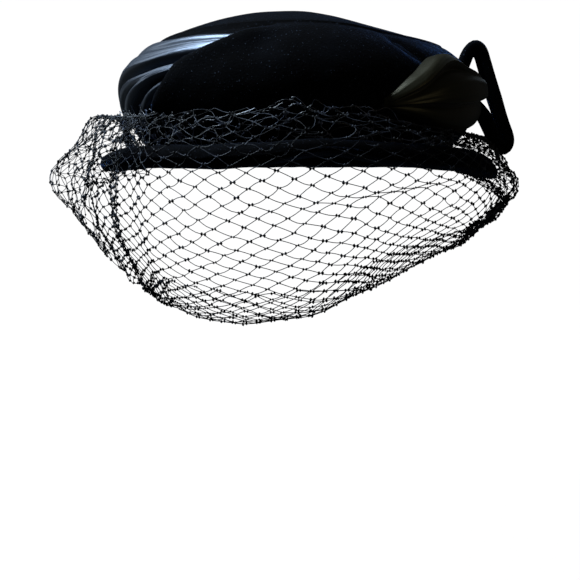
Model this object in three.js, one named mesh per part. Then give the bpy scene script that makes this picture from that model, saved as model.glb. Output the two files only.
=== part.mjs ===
import * as THREE from 'three';

// Draped velvet hat with satin trim, a bow loop and a birdcage net veil.
// Millimetres, +Z up. The front of the hat faces -Y and the wearer's left is +X.
// The origin is the middle of the head opening, level with the brim.
// A "turn" is the angle round the hat in degrees: 0 at the front, 90 towards +X.

const WALL = 2.5;              // velvet over its foundation
const GAP = 0.6;               // air left between two sewn pieces
const OPENING = { halfWidth: 80, halfLength: 93 };
const BRIM = { halfWidth: 109, halfLength: 121, middle: 4.5, innerHalf: 5.2, outerHalf: 5.6 };
const CROWN = { foot: 11.5, seam: 64 };
const TIP = { rise: 16.5, slope: -0.025, wall: 2.5 };
const STRIP = { depth: 24, thick: 4.5, middle: 1, lean: 8 };
const VEIL = { from: -118, to: 116, thick: 1.6, offCrown: 2.6 };
const ROUND = 60;              // steps round a full oval

const VELVET = { color: 0x060709, roughness: 0.95, metalness: 0 };
const SATIN = { color: 0x1a1f26, roughness: 0.35, metalness: 0 };
const NET = { color: 0x14161a, roughness: 0.7, metalness: 0 };

// Half sizes of the crown wall's outer face at each height.
const CROWN_PROFILE = [
  { height: 11.5, halfWidth: 86, halfLength: 98 },
  { height: 17, halfWidth: 91, halfLength: 104 },
  { height: 26, halfWidth: 95.5, halfLength: 108.5 },
  { height: 36, halfWidth: 97, halfLength: 110 },
  { height: 46, halfWidth: 95, halfLength: 107.5 },
  { height: 55, halfWidth: 89.5, halfLength: 101.5 },
  { height: 61, halfWidth: 83, halfLength: 94.5 },
  { height: 64, halfWidth: 78, halfLength: 89 },
];

// How far the seam between side and tip sinks round the hat.
const SEAM_DROP = [
  { turn: -180, drop: 1 },
  { turn: -120, drop: 2.5 },
  { turn: -75, drop: 2 },
  { turn: -35, drop: 0.5 },
  { turn: 0, drop: 0 },
  { turn: 16, drop: 1 },
  { turn: 34, drop: 3.6 },
  { turn: 60, drop: 4 },
  { turn: 90, drop: 2 },
  { turn: 130, drop: 2.5 },
  { turn: 180, drop: 1 },
];

// Soft folds in the crown wall: a valley of that depth, fading to both sides.
const WALL_FOLDS = [
  { turn: -12, spread: 9, depth: 0.8, height: 50, reach: 14 },
  { turn: 20, spread: 7, depth: 1.0, height: 30, reach: 16 },
  { turn: 36, spread: 6, depth: 1.6, height: 56, reach: 10 },
  { turn: 108, spread: 9, depth: 1.6, height: 44, reach: 16 },
  { turn: 150, spread: 10, depth: 1.4, height: 36, reach: 18 },
  { turn: -135, spread: 10, depth: 1.4, height: 42, reach: 18 },
];

// Dents in the soft tip.
const TIP_DENTS = [
  { x: 44, y: -22, spread: 32, depth: 6 },
  { x: -50, y: -30, spread: 20, depth: 1.4 },
  { x: -20, y: 52, spread: 24, depth: 2.2 },
  { x: 48, y: 44, spread: 22, depth: 1.8 },
];

// How full the brim's roll is from the opening (reach 0) out to its edge (reach 1).
const BRIM_SECTION = [
  { reach: 0, full: 0.55 },
  { reach: 0.12, full: 0.91 },
  { reach: 0.32, full: 1 },
  { reach: 0.55, full: 1 },
  { reach: 0.78, full: 0.93 },
  { reach: 0.93, full: 0.6 },
];

// Its underside is drawn up near the front.
const BRIM_ARCH = { turn: 8, spread: 13, lift: 4.2 };

// The brim's outer edge lifts and dips round the hat.
const BRIM_WAVE = [
  { turn: -180, lift: -2 },
  { turn: -125, lift: -1 },
  { turn: -85, lift: -4.5 },
  { turn: -45, lift: -1 },
  { turn: -14, lift: -1.2 },
  { turn: 6, lift: 2.5 },
  { turn: 24, lift: 0 },
  { turn: 50, lift: -3.5 },
  { turn: 84, lift: -9.5 },
  { turn: 130, lift: -2 },
  { turn: 180, lift: -2 },
];

// Left satin drape, from its wide tucked end to its gathered end.
const DRAPE_EDGES = [
  { along: 0, lowTurn: -46, lowHeight: 27, highTurn: -20, highHeight: 60 },
  { along: 0.2, lowTurn: -53, lowHeight: 25.5, highTurn: -37, highHeight: 61 },
  { along: 0.4, lowTurn: -63, lowHeight: 24.5, highTurn: -55, highHeight: 61 },
  { along: 0.6, lowTurn: -75, lowHeight: 27, highTurn: -73, highHeight: 57 },
  { along: 0.8, lowTurn: -89, lowHeight: 29.5, highTurn: -90, highHeight: 48 },
  { along: 1, lowTurn: -104, lowHeight: 31.5, highTurn: -105, highHeight: 39 },
];
const DRAPE = { thick: 1.7, pleats: 4.5, pleatHeight: 1.3, flatten: 0.4, bow: 6, steps: 22, strips: 12 };

// Right satin puff, from its front point to its tucked end.
const PUFF_EDGES = [
  { along: 0, lowTurn: 25, lowHeight: 26.5, highTurn: 25, highHeight: 29.5 },
  { along: 0.2, lowTurn: 34, lowHeight: 21.5, highTurn: 34, highHeight: 43 },
  { along: 0.4, lowTurn: 44, lowHeight: 18.5, highTurn: 42, highHeight: 51.5 },
  { along: 0.6, lowTurn: 55, lowHeight: 18.5, highTurn: 54, highHeight: 44.5 },
  { along: 0.8, lowTurn: 67, lowHeight: 22, highTurn: 67, highHeight: 43 },
  { along: 1, lowTurn: 76, lowHeight: 29, highTurn: 76, highHeight: 37 },
];
const PUFF = { thick: 1.6, swell: 6.5, edge: 0.05, folds: 2, foldHeight: 1.2, steps: 18, strips: 10 };

// Middle line of the bow's strip, seen from the front.
const LOOP_ROUTE = [
  { x: 92.2, z: 56.2 },
  { x: 94, z: 61.2 },
  { x: 97.2, z: 64.2 },
  { x: 100.6, z: 62 },
  { x: 103.4, z: 55 },
  { x: 106.6, z: 45 },
  { x: 110.4, z: 34 },
  { x: 114.4, z: 23 },
  { x: 117.4, z: 14.4 },
  { x: 115.4, z: 10.6 },
  { x: 111.8, z: 13 },
  { x: 107.8, z: 20 },
  { x: 104.4, z: 26.5 },
  { x: 102.6, z: 32 },
];
const LOOP_STEPS = 30;

// Outer form of the veil. "Out" is measured from the brim's oval.
const VEIL_FORM = [
  { turn: -118, top: 20, lipOut: 2.5, lip: 13, midOut: 6, mid: 4, hemOut: 4, hem: -6 },
  { turn: -100, top: 24, lipOut: 8, lip: 18, midOut: 22, mid: 2, hemOut: 16, hem: -12 },
  { turn: -86, top: 24.5, lipOut: 14, lip: 21, midOut: 31.5, mid: -4, hemOut: 14, hem: -28 },
  { turn: -70, top: 22.5, lipOut: 9, lip: 17, midOut: 18, mid: -16, hemOut: -2, hem: -44 },
  { turn: -50, top: 22, lipOut: 5, lip: 14.5, midOut: 8, mid: -24, hemOut: -6, hem: -58 },
  { turn: -25, top: 26, lipOut: 4.5, lip: 14.5, midOut: 5, mid: -30, hemOut: -6, hem: -68 },
  { turn: 0, top: 26, lipOut: 4.5, lip: 17, midOut: 5, mid: -28, hemOut: -4, hem: -68 },
  { turn: 15, top: 23, lipOut: 4.5, lip: 15.5, midOut: 5, mid: -25, hemOut: -4, hem: -60 },
  { turn: 30, top: 18, lipOut: 4.5, lip: 13, midOut: 4.5, mid: -20, hemOut: -6, hem: -51 },
  { turn: 50, top: 15.5, lipOut: 4.5, lip: 9.5, midOut: 6, mid: -15, hemOut: -5, hem: -43 },
  { turn: 70, top: 15.5, lipOut: 4.5, lip: 6, midOut: 9, mid: -11, hemOut: -2, hem: -31 },
  { turn: 88, top: 15.5, lipOut: 4, lip: 4, midOut: 17, mid: -10, hemOut: 8, hem: -24 },
  { turn: 104, top: 16, lipOut: 3.5, lip: 7, midOut: 8, mid: -1, hemOut: 6, hem: -10 },
  { turn: 116, top: 16, lipOut: 3, lip: 11, midOut: 5, mid: 3, hemOut: 4, hem: -5 },
];
const VEIL_STEPS = { round: 54, down: 9 };

const radians = THREE.MathUtils.degToRad;

// A smooth value between the rows of a table, through every row.
function follow(rows, key, column, at) {
  const last = rows.length - 1;
  let i = 0;
  while (i < last - 1 && at > rows[i + 1][key]) i += 1;
  const left = rows[i];
  const right = rows[i + 1];
  const span = right[key] - left[key];
  const t = THREE.MathUtils.clamp((at - left[key]) / span, 0, 1);
  const before = rows[Math.max(i - 1, 0)];
  const after = rows[Math.min(i + 2, last)];
  const slopeLeft = (right[column] - before[column]) / (right[key] - before[key]);
  const slopeRight = (after[column] - left[column]) / (after[key] - left[key]);
  const t2 = t * t;
  const t3 = t2 * t;
  return (2 * t3 - 3 * t2 + 1) * left[column] + (t3 - 2 * t2 + t) * slopeLeft * span
    + (3 * t2 - 2 * t3) * right[column] + (t3 - t2) * slopeRight * span;
}

function ovalPoint(turn, halfWidth, halfLength, height) {
  const angle = radians(turn);
  return new THREE.Vector3(halfWidth * Math.sin(angle), -halfLength * Math.cos(angle), height);
}

function bell(distance, spread) {
  return Math.exp(-((distance / spread) ** 2));
}

// A closed body from points and triangles, turned so that its faces point out.
function closedBody(points, triangles) {
  let volume = 0;
  for (const [a, b, c] of triangles) {
    volume += points[a].dot(new THREE.Vector3().crossVectors(points[b], points[c]));
  }
  const index = volume > 0 ? triangles.flat() : triangles.flatMap(([a, b, c]) => [a, c, b]);
  const geometry = new THREE.BufferGeometry().setFromPoints(points);
  geometry.setIndex(index);
  geometry.computeVertexNormals();
  return geometry;
}

// Two triangles for the cell between two rows of points.
function cell(triangles, a, b, c, d) {
  triangles.push([a, b, c], [a, c, d]);
}

// A ring whose closed section changes as it goes round.
function ringBody(section) {
  const points = [];
  const triangles = [];
  let size = 0;
  for (let i = 0; i < ROUND; i += 1) {
    const loop = section(-180 + (360 * i) / ROUND);
    size = loop.length;
    points.push(...loop);
  }
  for (let i = 0; i < ROUND; i += 1) {
    const next = (i + 1) % ROUND;
    for (let j = 0; j < size; j += 1) {
      const after = (j + 1) % size;
      cell(triangles, i * size + j, next * size + j, next * size + after, i * size + after);
    }
  }
  return closedBody(points, triangles);
}

// A strip or sheet: an outer and an inner grid of points, closed along their edges.
function sheetBody(outer, inner) {
  const rows = outer.length;
  const columns = outer[0].length;
  const points = [...outer.flat(), ...inner.flat()];
  const triangles = [];
  const half = rows * columns;
  const at = (i, j) => i * columns + j;
  for (let i = 0; i < rows - 1; i += 1) {
    for (let j = 0; j < columns - 1; j += 1) {
      cell(triangles, at(i, j), at(i + 1, j), at(i + 1, j + 1), at(i, j + 1));
      cell(triangles, half + at(i, j), half + at(i, j + 1), half + at(i + 1, j + 1), half + at(i + 1, j));
    }
    cell(triangles, at(i, 0), half + at(i, 0), half + at(i + 1, 0), at(i + 1, 0));
    const edge = columns - 1;
    cell(triangles, at(i, edge), at(i + 1, edge), half + at(i + 1, edge), half + at(i, edge));
  }
  for (let j = 0; j < columns - 1; j += 1) {
    cell(triangles, at(0, j), at(0, j + 1), half + at(0, j + 1), half + at(0, j));
    const end = rows - 1;
    cell(triangles, at(end, j), half + at(end, j), half + at(end, j + 1), at(end, j + 1));
  }
  return closedBody(points, triangles);
}

// Crown: height of the seam, and the wall's outer face pushed out by "off".
function seamHeight(turn) {
  return CROWN.seam - follow(SEAM_DROP, 'turn', 'drop', turn);
}

function crownPoint(turn, height, off = 0) {
  let dent = 0;
  for (const fold of WALL_FOLDS) {
    dent += fold.depth * bell(turn - fold.turn, fold.spread) * bell(height - fold.height, fold.reach);
  }
  const out = off - dent;
  const halfWidth = follow(CROWN_PROFILE, 'height', 'halfWidth', height) + out;
  const halfLength = follow(CROWN_PROFILE, 'height', 'halfLength', height) + out;
  const stretch = (seamHeight(turn) - CROWN.foot) / (CROWN.seam - CROWN.foot);
  return ovalPoint(turn, halfWidth, halfLength, CROWN.foot + (height - CROWN.foot) * stretch);
}

function crownSide() {
  const heights = [CROWN.foot, 17, 25, 34, 43, 51, 57.5, 61.5, CROWN.seam];
  const innerHeights = [CROWN.seam, 60, 52, 42, 30, 18, CROWN.foot];
  return ringBody((turn) => [
    ...heights.map((height) => crownPoint(turn, height)),
    ...innerHeights.map((height) => crownPoint(turn, height, -WALL)),
  ]);
}

// Tip: a shallow dome, closed at its pole, with an inner face below it.
function tipPoint(turn, reach, inset) {
  const halfWidth = 78 - inset;
  const halfLength = 89 - inset;
  const point = ovalPoint(turn, halfWidth * reach, halfLength * reach, 0);
  let dent = 0;
  for (const row of TIP_DENTS) {
    dent += row.depth * bell(point.x - row.x, row.spread) * bell(point.y - row.y, row.spread);
  }
  const fade = 1 - reach ** 4;
  const edge = seamHeight(turn) * reach ** 2 + CROWN.seam * (1 - reach ** 2);
  point.z = edge + GAP + TIP.rise * (1 - reach ** 2) + (TIP.slope * point.x - dent) * fade - inset;
  return point;
}

function crownTop() {
  const reaches = [1, 0.95, 0.86, 0.74, 0.58, 0.4, 0.2];
  const points = [];
  const triangles = [];
  const faces = [{ inset: 0, rows: reaches }, { inset: TIP.wall, rows: reaches }];
  for (const face of faces) {
    for (const reach of face.rows) {
      for (let i = 0; i < ROUND; i += 1) {
        const point = tipPoint(-180 + (360 * i) / ROUND, reach, face.inset);
        if (face.inset > 0 && reach === 1) point.z += face.inset;
        points.push(point);
      }
    }
    points.push(tipPoint(0, 0, face.inset));
  }
  const half = points.length / 2;
  const rings = reaches.length;
  for (let i = 0; i < ROUND; i += 1) {
    const next = (i + 1) % ROUND;
    for (let j = 0; j < rings - 1; j += 1) {
      const a = j * ROUND + i;
      const b = j * ROUND + next;
      cell(triangles, a, b, b + ROUND, a + ROUND);
      cell(triangles, half + a, half + a + ROUND, half + b + ROUND, half + b);
    }
    const last = (rings - 1) * ROUND;
    triangles.push([last + i, last + next, half - 1]);
    triangles.push([half + last + next, half + last + i, 2 * half - 1]);
    cell(triangles, i, half + i, half + next, next);
  }
  return closedBody(points, triangles);
}

// Brim: a soft padded roll, thin at the opening and round at its outer edge.
function brim() {
  const lerp = THREE.MathUtils.lerp;
  return ringBody((turn) => {
    const wave = follow(BRIM_WAVE, 'turn', 'lift', turn);
    const arch = BRIM_ARCH.lift * bell(turn - BRIM_ARCH.turn, BRIM_ARCH.spread);
    const place = (row, rise) => ovalPoint(
      turn,
      lerp(OPENING.halfWidth, BRIM.halfWidth, row.reach),
      lerp(OPENING.halfLength, BRIM.halfLength, row.reach),
      BRIM.middle + wave * row.reach ** 1.5 + rise,
    );
    const half = (row) => lerp(BRIM.innerHalf, BRIM.outerHalf, row.reach) * row.full;
    const top = BRIM_SECTION.map((row) => place(row, half(row)));
    const under = [...BRIM_SECTION].reverse().map((row) => place(row, arch - half(row)));
    return [...top, place({ reach: 1 }, arch / 3), ...under];
  });
}

// A point on the crown between a trim's two edges.
function trimSpot(edges, along, across) {
  const value = (column) => follow(edges, 'along', column, along);
  return {
    turn: THREE.MathUtils.lerp(value('lowTurn'), value('highTurn'), across),
    height: THREE.MathUtils.lerp(value('lowHeight'), value('highHeight'), across),
  };
}

// A trim lying on the crown; "rise" gives its thickness at each place.
function trimBody(edges, size, rise, shift = () => 0) {
  const grid = (off) => {
    const rows = [];
    for (let i = 0; i <= size.steps; i += 1) {
      const row = [];
      for (let j = 0; j <= size.strips; j += 1) {
        const along = i / size.steps;
        const across = j / size.strips;
        const spot = trimSpot(edges, along, across);
        row.push(crownPoint(spot.turn + shift(along, across), spot.height, off(along, across)));
      }
      rows.push(row);
    }
    return rows;
  };
  return sheetBody(grid((along, across) => GAP + rise(along, across)), grid(() => GAP));
}

function satinDrapeLeft() {
  const rise = (along, across) => {
    const pleat = 0.5 - 0.5 * Math.cos(2 * Math.PI * DRAPE.pleats * across);
    return DRAPE.thick + DRAPE.pleatHeight * pleat * (1 - DRAPE.flatten * along);
  };
  const bowed = (along, across) => DRAPE.bow * (along - 1) * Math.sin(Math.PI * across);
  return trimBody(DRAPE_EDGES, DRAPE, rise, bowed);
}

function satinPuffRight() {
  const arc = (part) => Math.sin(Math.PI * THREE.MathUtils.lerp(PUFF.edge, 1 - PUFF.edge, part));
  const rise = (along, across) => {
    const body = Math.sqrt(arc(along) * arc(across));
    const fold = 0.5 - 0.5 * Math.cos(2 * Math.PI * PUFF.folds * across);
    return PUFF.thick + PUFF.swell * body + PUFF.foldHeight * fold * body;
  };
  return trimBody(PUFF_EDGES, PUFF, rise);
}

// Bow: a flat strip of doubled velvet carried along its route.
function bowLoop() {
  const route = new THREE.CatmullRomCurve3(LOOP_ROUTE.map((row) => new THREE.Vector3(row.x, 0, row.z)));
  const lean = radians(STRIP.lean);
  const side = new THREE.Vector3(Math.sin(lean), Math.cos(lean), 0);
  const section = [
    { across: -0.5, off: 0.3 },
    { across: -0.5, off: -0.3 },
    { across: -0.42, off: -0.5 },
    { across: 0.42, off: -0.5 },
    { across: 0.5, off: -0.3 },
    { across: 0.5, off: 0.3 },
    { across: 0.42, off: 0.5 },
    { across: -0.42, off: 0.5 },
  ];
  const points = [];
  const triangles = [];
  const size = section.length;
  for (let i = 0; i <= LOOP_STEPS; i += 1) {
    const spot = route.getPointAt(i / LOOP_STEPS);
    const ahead = route.getTangentAt(i / LOOP_STEPS);
    const up = new THREE.Vector3(-ahead.z, 0, ahead.x).normalize();
    for (const corner of section) {
      const point = spot.clone();
      point.y += STRIP.middle;
      point.addScaledVector(side, corner.across * STRIP.depth);
      point.addScaledVector(up, corner.off * STRIP.thick);
      points.push(point);
    }
  }
  for (let i = 0; i < LOOP_STEPS; i += 1) {
    for (let j = 0; j < size; j += 1) {
      const after = (j + 1) % size;
      cell(triangles, i * size + j, i * size + after, (i + 1) * size + after, (i + 1) * size + j);
    }
  }
  const end = LOOP_STEPS * size;
  for (let j = 1; j < size - 1; j += 1) {
    triangles.push([0, j + 1, j]);
    triangles.push([end, end + j, end + j + 1]);
  }
  return closedBody(points, triangles);
}

// Veil: a thin shell from the crown's foot, over the brim and down to its hem.
function veilProfile(turn) {
  const value = (column) => follow(VEIL_FORM, 'turn', column, turn);
  const start = crownPoint(turn, value('top'), VEIL.offCrown);
  const hang = (out, height) => ovalPoint(turn, BRIM.halfWidth + out, BRIM.halfLength + out, height);
  return new THREE.CatmullRomCurve3([
    start,
    hang(value('lipOut'), value('lip')),
    hang(value('midOut'), value('mid')),
    hang(value('hemOut'), value('hem')),
  ]);
}

function veil() {
  const outer = [];
  for (let i = 0; i <= VEIL_STEPS.round; i += 1) {
    const turn = THREE.MathUtils.lerp(VEIL.from, VEIL.to, i / VEIL_STEPS.round);
    outer.push(veilProfile(turn).getSpacedPoints(VEIL_STEPS.down));
  }
  const inner = outer.map((row, i) => row.map((point, j) => {
    const before = outer[Math.max(i - 1, 0)][j];
    const after = outer[Math.min(i + 1, VEIL_STEPS.round)][j];
    const above = row[Math.max(j - 1, 0)];
    const below = row[Math.min(j + 1, VEIL_STEPS.down)];
    const round = after.clone().sub(before);
    const down = below.clone().sub(above);
    const inward = round.cross(down).normalize();
    return point.clone().addScaledVector(inward, VEIL.thick);
  }));
  return sheetBody(outer, inner);
}

const hat = new THREE.Group();

function addPiece(name, geometry, look) {
  const piece = new THREE.Mesh(geometry, new THREE.MeshStandardMaterial(look));
  piece.name = name;
  hat.add(piece);
}

addPiece('crown_side', crownSide(), VELVET);
addPiece('crown_top', crownTop(), VELVET);
addPiece('brim', brim(), VELVET);
addPiece('satin_drape_left', satinDrapeLeft(), SATIN);
addPiece('satin_puff_right', satinPuffRight(), SATIN);
addPiece('bow_loop', bowLoop(), VELVET);
addPiece('veil', veil(), NET);

export default hat;
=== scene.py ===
import math
import random
import bpy
import numpy as np
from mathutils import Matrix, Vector, noise


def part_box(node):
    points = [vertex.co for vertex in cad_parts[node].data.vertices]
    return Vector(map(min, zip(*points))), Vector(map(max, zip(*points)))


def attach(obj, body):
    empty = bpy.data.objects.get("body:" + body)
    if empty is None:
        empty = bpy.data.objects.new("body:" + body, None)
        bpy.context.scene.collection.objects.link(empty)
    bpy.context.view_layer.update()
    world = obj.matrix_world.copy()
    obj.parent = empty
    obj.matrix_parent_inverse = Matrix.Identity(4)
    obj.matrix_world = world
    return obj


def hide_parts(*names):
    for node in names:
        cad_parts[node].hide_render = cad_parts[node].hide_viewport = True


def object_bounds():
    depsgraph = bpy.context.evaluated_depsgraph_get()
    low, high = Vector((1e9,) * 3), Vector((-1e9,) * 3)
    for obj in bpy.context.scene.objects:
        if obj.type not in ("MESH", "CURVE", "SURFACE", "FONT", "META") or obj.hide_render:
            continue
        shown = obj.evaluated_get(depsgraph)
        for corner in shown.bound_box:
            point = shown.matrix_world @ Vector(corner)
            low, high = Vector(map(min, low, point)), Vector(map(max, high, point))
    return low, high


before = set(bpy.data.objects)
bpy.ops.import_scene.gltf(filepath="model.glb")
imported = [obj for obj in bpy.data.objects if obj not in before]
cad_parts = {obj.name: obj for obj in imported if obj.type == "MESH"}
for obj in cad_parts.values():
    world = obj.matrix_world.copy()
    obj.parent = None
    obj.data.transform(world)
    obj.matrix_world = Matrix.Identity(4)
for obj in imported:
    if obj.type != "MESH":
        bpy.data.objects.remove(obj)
cadLow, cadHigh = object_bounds()
print("hat: frame loaded")

# Tables are in millimetres and degrees. A turn goes round the hat: 0 at the front, 90 towards +X.
mm = 0.001
scene = bpy.context.scene


def table(names, *rows):
    return [dict(zip(names.split(), row)) for row in rows]


def cubic(t, span, start, end, leaving, arriving):
    # curve from start to end over that span, with those slopes at its two ends
    t2 = t * t
    t3 = t2 * t
    return ((2 * t3 - 3 * t2 + 1) * start + (t3 - 2 * t2 + t) * span * leaving
            + (3 * t2 - 2 * t3) * end + (t3 - t2) * span * arriving)


def follow(rows, key, column, at):
    # smooth value between the rows of a table
    x = np.array([row[key] for row in rows], float)
    y = np.array([row[column] for row in rows], float)
    steps = np.diff(y) / np.diff(x)
    slope = np.concatenate([steps[:1], (y[2:] - y[:-2]) / (x[2:] - x[:-2]), steps[-1:]])
    at = np.clip(np.asarray(at, float), x[0], x[-1])
    i = np.clip(np.searchsorted(x, at, side="right") - 1, 0, len(x) - 2)
    span = x[i + 1] - x[i]
    return cubic((at - x[i]) / span, span, y[i], y[i + 1], slope[i], slope[i + 1])


def bell(distance, spread):
    return np.exp(-((distance / spread) ** 2))


def turnsRound(count):
    return np.linspace(-180, 180, count, endpoint=False)


def ease(low, high, value):
    t = np.clip((value - low) / (high - low), 0, 1)
    return t * t * (3 - 2 * t)


def ovalPoint(turn, halfWidth, halfLength, height):
    angle = np.radians(turn)
    parts = np.broadcast_arrays(halfWidth * np.sin(angle), -halfLength * np.cos(angle), height)
    return np.stack(parts, -1).astype(float)


def softNoise(points, size, seed):
    # smooth noise from -1 to 1 at each point, with lumps of about that size in millimetres
    flat = np.asarray(points, float).reshape(-1, 3) / size
    values = [noise.noise(Vector((p[0] + seed, p[1] - seed, p[2] + 0.5 * seed))) for p in flat]
    return np.array(values).reshape(np.shape(points)[:-1])


def layers(*rows):
    return table("size depth seed", *rows)


def lumps(points, noises):
    # smooth noise in layers, each with its own size, depth and seed
    return sum(row["depth"] * softNoise(points, row["size"], row["seed"]) for row in noises)


def makeMesh(name, points, faces, material, uv=None):
    # points in millimetres; the faces are turned outwards if the closed form is inside out
    points = np.asarray(points, float)
    a, b, c = (points[[face[k] for face in faces]] for k in range(3))
    volume = np.einsum("ij,ij->i", a, np.cross(b, c)).sum()
    quads = [face for face in faces if len(face) == 4]
    a, b, c = (points[[face[k] for face in quads]] for k in (0, 2, 3))
    volume += np.einsum("ij,ij->i", a, np.cross(b, c)).sum()
    if volume < 0:
        faces = [tuple(reversed(face)) for face in faces]
    mesh = bpy.data.meshes.new(name)
    mesh.from_pydata((points * mm).tolist(), [], faces)
    mesh.polygons.foreach_set("use_smooth", [True] * len(mesh.polygons))
    if uv is not None:
        layer = mesh.uv_layers.new(name="cloth")
        corners = np.empty(len(mesh.loops), int)
        mesh.loops.foreach_get("vertex_index", corners)
        layer.data.foreach_set("uv", np.asarray(uv, float)[corners].reshape(-1))
    mesh.validate()
    mesh.update()
    piece = bpy.data.objects.new(name, mesh)
    scene.collection.objects.link(piece)
    piece.data.materials.append(material)
    return piece


def gridFaces(rows, columns, start=0, flip=False, closedRows=False, closedColumns=False):
    # quads over a grid of points that are counted row by row
    faces = []
    for i in range(rows - (not closedRows)):
        for j in range(columns - (not closedColumns)):
            a, d = (start + i * columns + k % columns for k in (j, j + 1))
            b, c = (start + (i + 1) % rows * columns + k % columns for k in (j, j + 1))
            faces.append((a, d, c, b) if flip else (a, b, c, d))
    return faces


def sheetMesh(name, outer, inner, material):
    # two grids of points, joined along their edges; the UV map is in metres along and across the cloth
    rows, columns = outer.shape[:2]
    half = rows * columns
    faces = gridFaces(rows, columns) + gridFaces(rows, columns, half, flip=True)
    for i in range(rows - 1):
        for j, flip in ((0, False), (columns - 1, True)):
            a = i * columns + j
            face = (a, half + a, half + a + columns, a + columns)
            faces.append(tuple(reversed(face)) if flip else face)
    for j in range(columns - 1):
        for i, flip in ((0, False), (rows - 1, True)):
            a = i * columns + j
            face = (a, a + 1, half + a + 1, half + a)
            faces.append(tuple(reversed(face)) if flip else face)
    stepAlong = np.linalg.norm(np.diff(outer, axis=0), axis=-1).mean(axis=1)
    stepAcross = np.linalg.norm(np.diff(outer, axis=1), axis=-1).mean(axis=0)
    u = np.concatenate([[0], np.cumsum(stepAlong)])
    v = np.concatenate([[0], np.cumsum(stepAcross)])
    uv = np.stack(np.meshgrid(u, v, indexing="ij"), -1).reshape(-1, 2) * mm
    points = np.concatenate([outer.reshape(-1, 3), inner.reshape(-1, 3)])
    return makeMesh(name, points, faces, material, np.concatenate([uv, uv]))


def ringMesh(name, loops, material):
    # a closed section carried all the way round
    faces = gridFaces(*loops.shape[:2], closedRows=True, closedColumns=True)
    return makeMesh(name, loops.reshape(-1, 3), faces, material)


def toLinear(hexColour):
    channels = [int(hexColour[k:k + 2], 16) / 255 for k in (1, 3, 5)]
    return [c / 12.92 if c <= 0.04045 else ((c + 0.055) / 1.055) ** 2.4 for c in channels] + [1.0]


def addNode(tree, kind, settings=None, inputs=None, links=None):
    node = tree.nodes.new(kind)
    for key, value in (settings or {}).items():
        setattr(node, key, value)
    for key, value in (inputs or {}).items():
        node.inputs[key].default_value = value
    for key, source in (links or {}).items():
        tree.links.new(source, node.inputs[key])
    return node


def newMaterial(name):
    material = bpy.data.materials.new(name)
    material.use_nodes = True
    material.node_tree.nodes.clear()
    return material, material.node_tree


def addNoise(tree, place, size, detail, roughness=0.5):
    # noise with lumps of about that size in millimetres
    inputs = {"Scale": 1 / mm / size, "Detail": detail, "Roughness": roughness}
    return addNode(tree, "ShaderNodeTexNoise", None, inputs, {"Vector": place}).outputs["Fac"]


def addRange(tree, value, inputs):
    return addNode(tree, "ShaderNodeMapRange", None, inputs, {"Value": value}).outputs["Result"]


def addMix(tree, share, first, second):
    # this node's sockets 0, 6 and 7 are its factor and its two colours
    node = addNode(tree, "ShaderNodeMix", {"data_type": "RGBA"}, {7: toLinear(second)}, {0: share})
    if isinstance(first, str):
        node.inputs[6].default_value = toLinear(first)
    else:
        tree.links.new(first, node.inputs[6])
    return node.outputs[2]


def addBump(tree, height, strength, depth):
    inputs = {"Strength": strength, "Distance": depth * mm}
    return addNode(tree, "ShaderNodeBump", None, inputs, {"Height": height}).outputs["Normal"]


def addShader(tree, inputs, links):
    shader = addNode(tree, "ShaderNodeBsdfPrincipled", None, inputs, links)
    addNode(tree, "ShaderNodeOutputMaterial", None, None, {"Surface": shader.outputs["BSDF"]})


def silkVelvet():
    # silk velvet, cut pile: swallows light face on and shows a cool sheen at its edges; its fine glints are
    # painted highlights, lighter specks mixed into its colour
    look = {"pile": "#010102", "crushed": "#030407", "paintedGlint": "#343b47", "sheen": "#46669c",
            "pileGap": 0.9, "pileDepth": 0.7, "paintedGlintGap": 0.9, "lump": 16}
    material, tree = newMaterial("silk velvet")
    place = addNode(tree, "ShaderNodeTexCoord").outputs["Object"]
    lay = addRange(tree, addNoise(tree, place, look["lump"], 3.0), {"From Min": 0.45, "From Max": 0.75})
    paintedGlintNoise = addNoise(tree, place, look["paintedGlintGap"], 1.0, 0.9)
    # painted highlight: where this noise peaks, the colour turns to the lighter glint colour, for pile tips
    # catching the light
    paintedSparkle = addRange(tree, paintedGlintNoise, {"From Min": 0.68, "From Max": 0.78})
    pile = addNoise(tree, place, look["pileGap"], 2.0, 0.7)
    cloth = addMix(tree, lay, look["pile"], look["crushed"])
    addShader(tree,
              {"Roughness": 0.95, "Specular IOR Level": 0.03, "Sheen Weight": 0.34, "Sheen Roughness": 0.2,
               "Sheen Tint": toLinear(look["sheen"])},
              {"Base Color": addMix(tree, paintedSparkle, cloth, look["paintedGlint"]),
               "Normal": addBump(tree, pile, 0.6, look["pileDepth"])})
    return material


def silkSatin(name, base, shade, tint, gleam):
    # silk satin, woven smooth and pressed: broad soft highlights along every fold
    look = {"thread": 0.5, "threadDepth": 0.2, "slub": 6, "grain": (0.15, 1.0, 1.0)}
    material, tree = newMaterial(name)
    place = addNode(tree, "ShaderNodeTexCoord").outputs["UV"]
    woven = addNode(tree, "ShaderNodeMapping", None, {"Scale": look["grain"]}, {"Vector": place})
    threads = addNoise(tree, woven.outputs["Vector"], look["thread"], 2.0, 0.6)
    slubs = addNoise(tree, woven.outputs["Vector"], look["slub"], 3.0)
    addShader(tree,
              {"Specular IOR Level": gleam, "Specular Tint": toLinear(tint), "Sheen Weight": 0.04,
               "Sheen Roughness": 0.4},
              {"Base Color": addMix(tree, slubs, base, shade),
               "Roughness": addRange(tree, threads, {"To Min": 0.29, "To Max": 0.43}),
               "Normal": addBump(tree, threads, 0.3, look["threadDepth"])})
    return material


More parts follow.
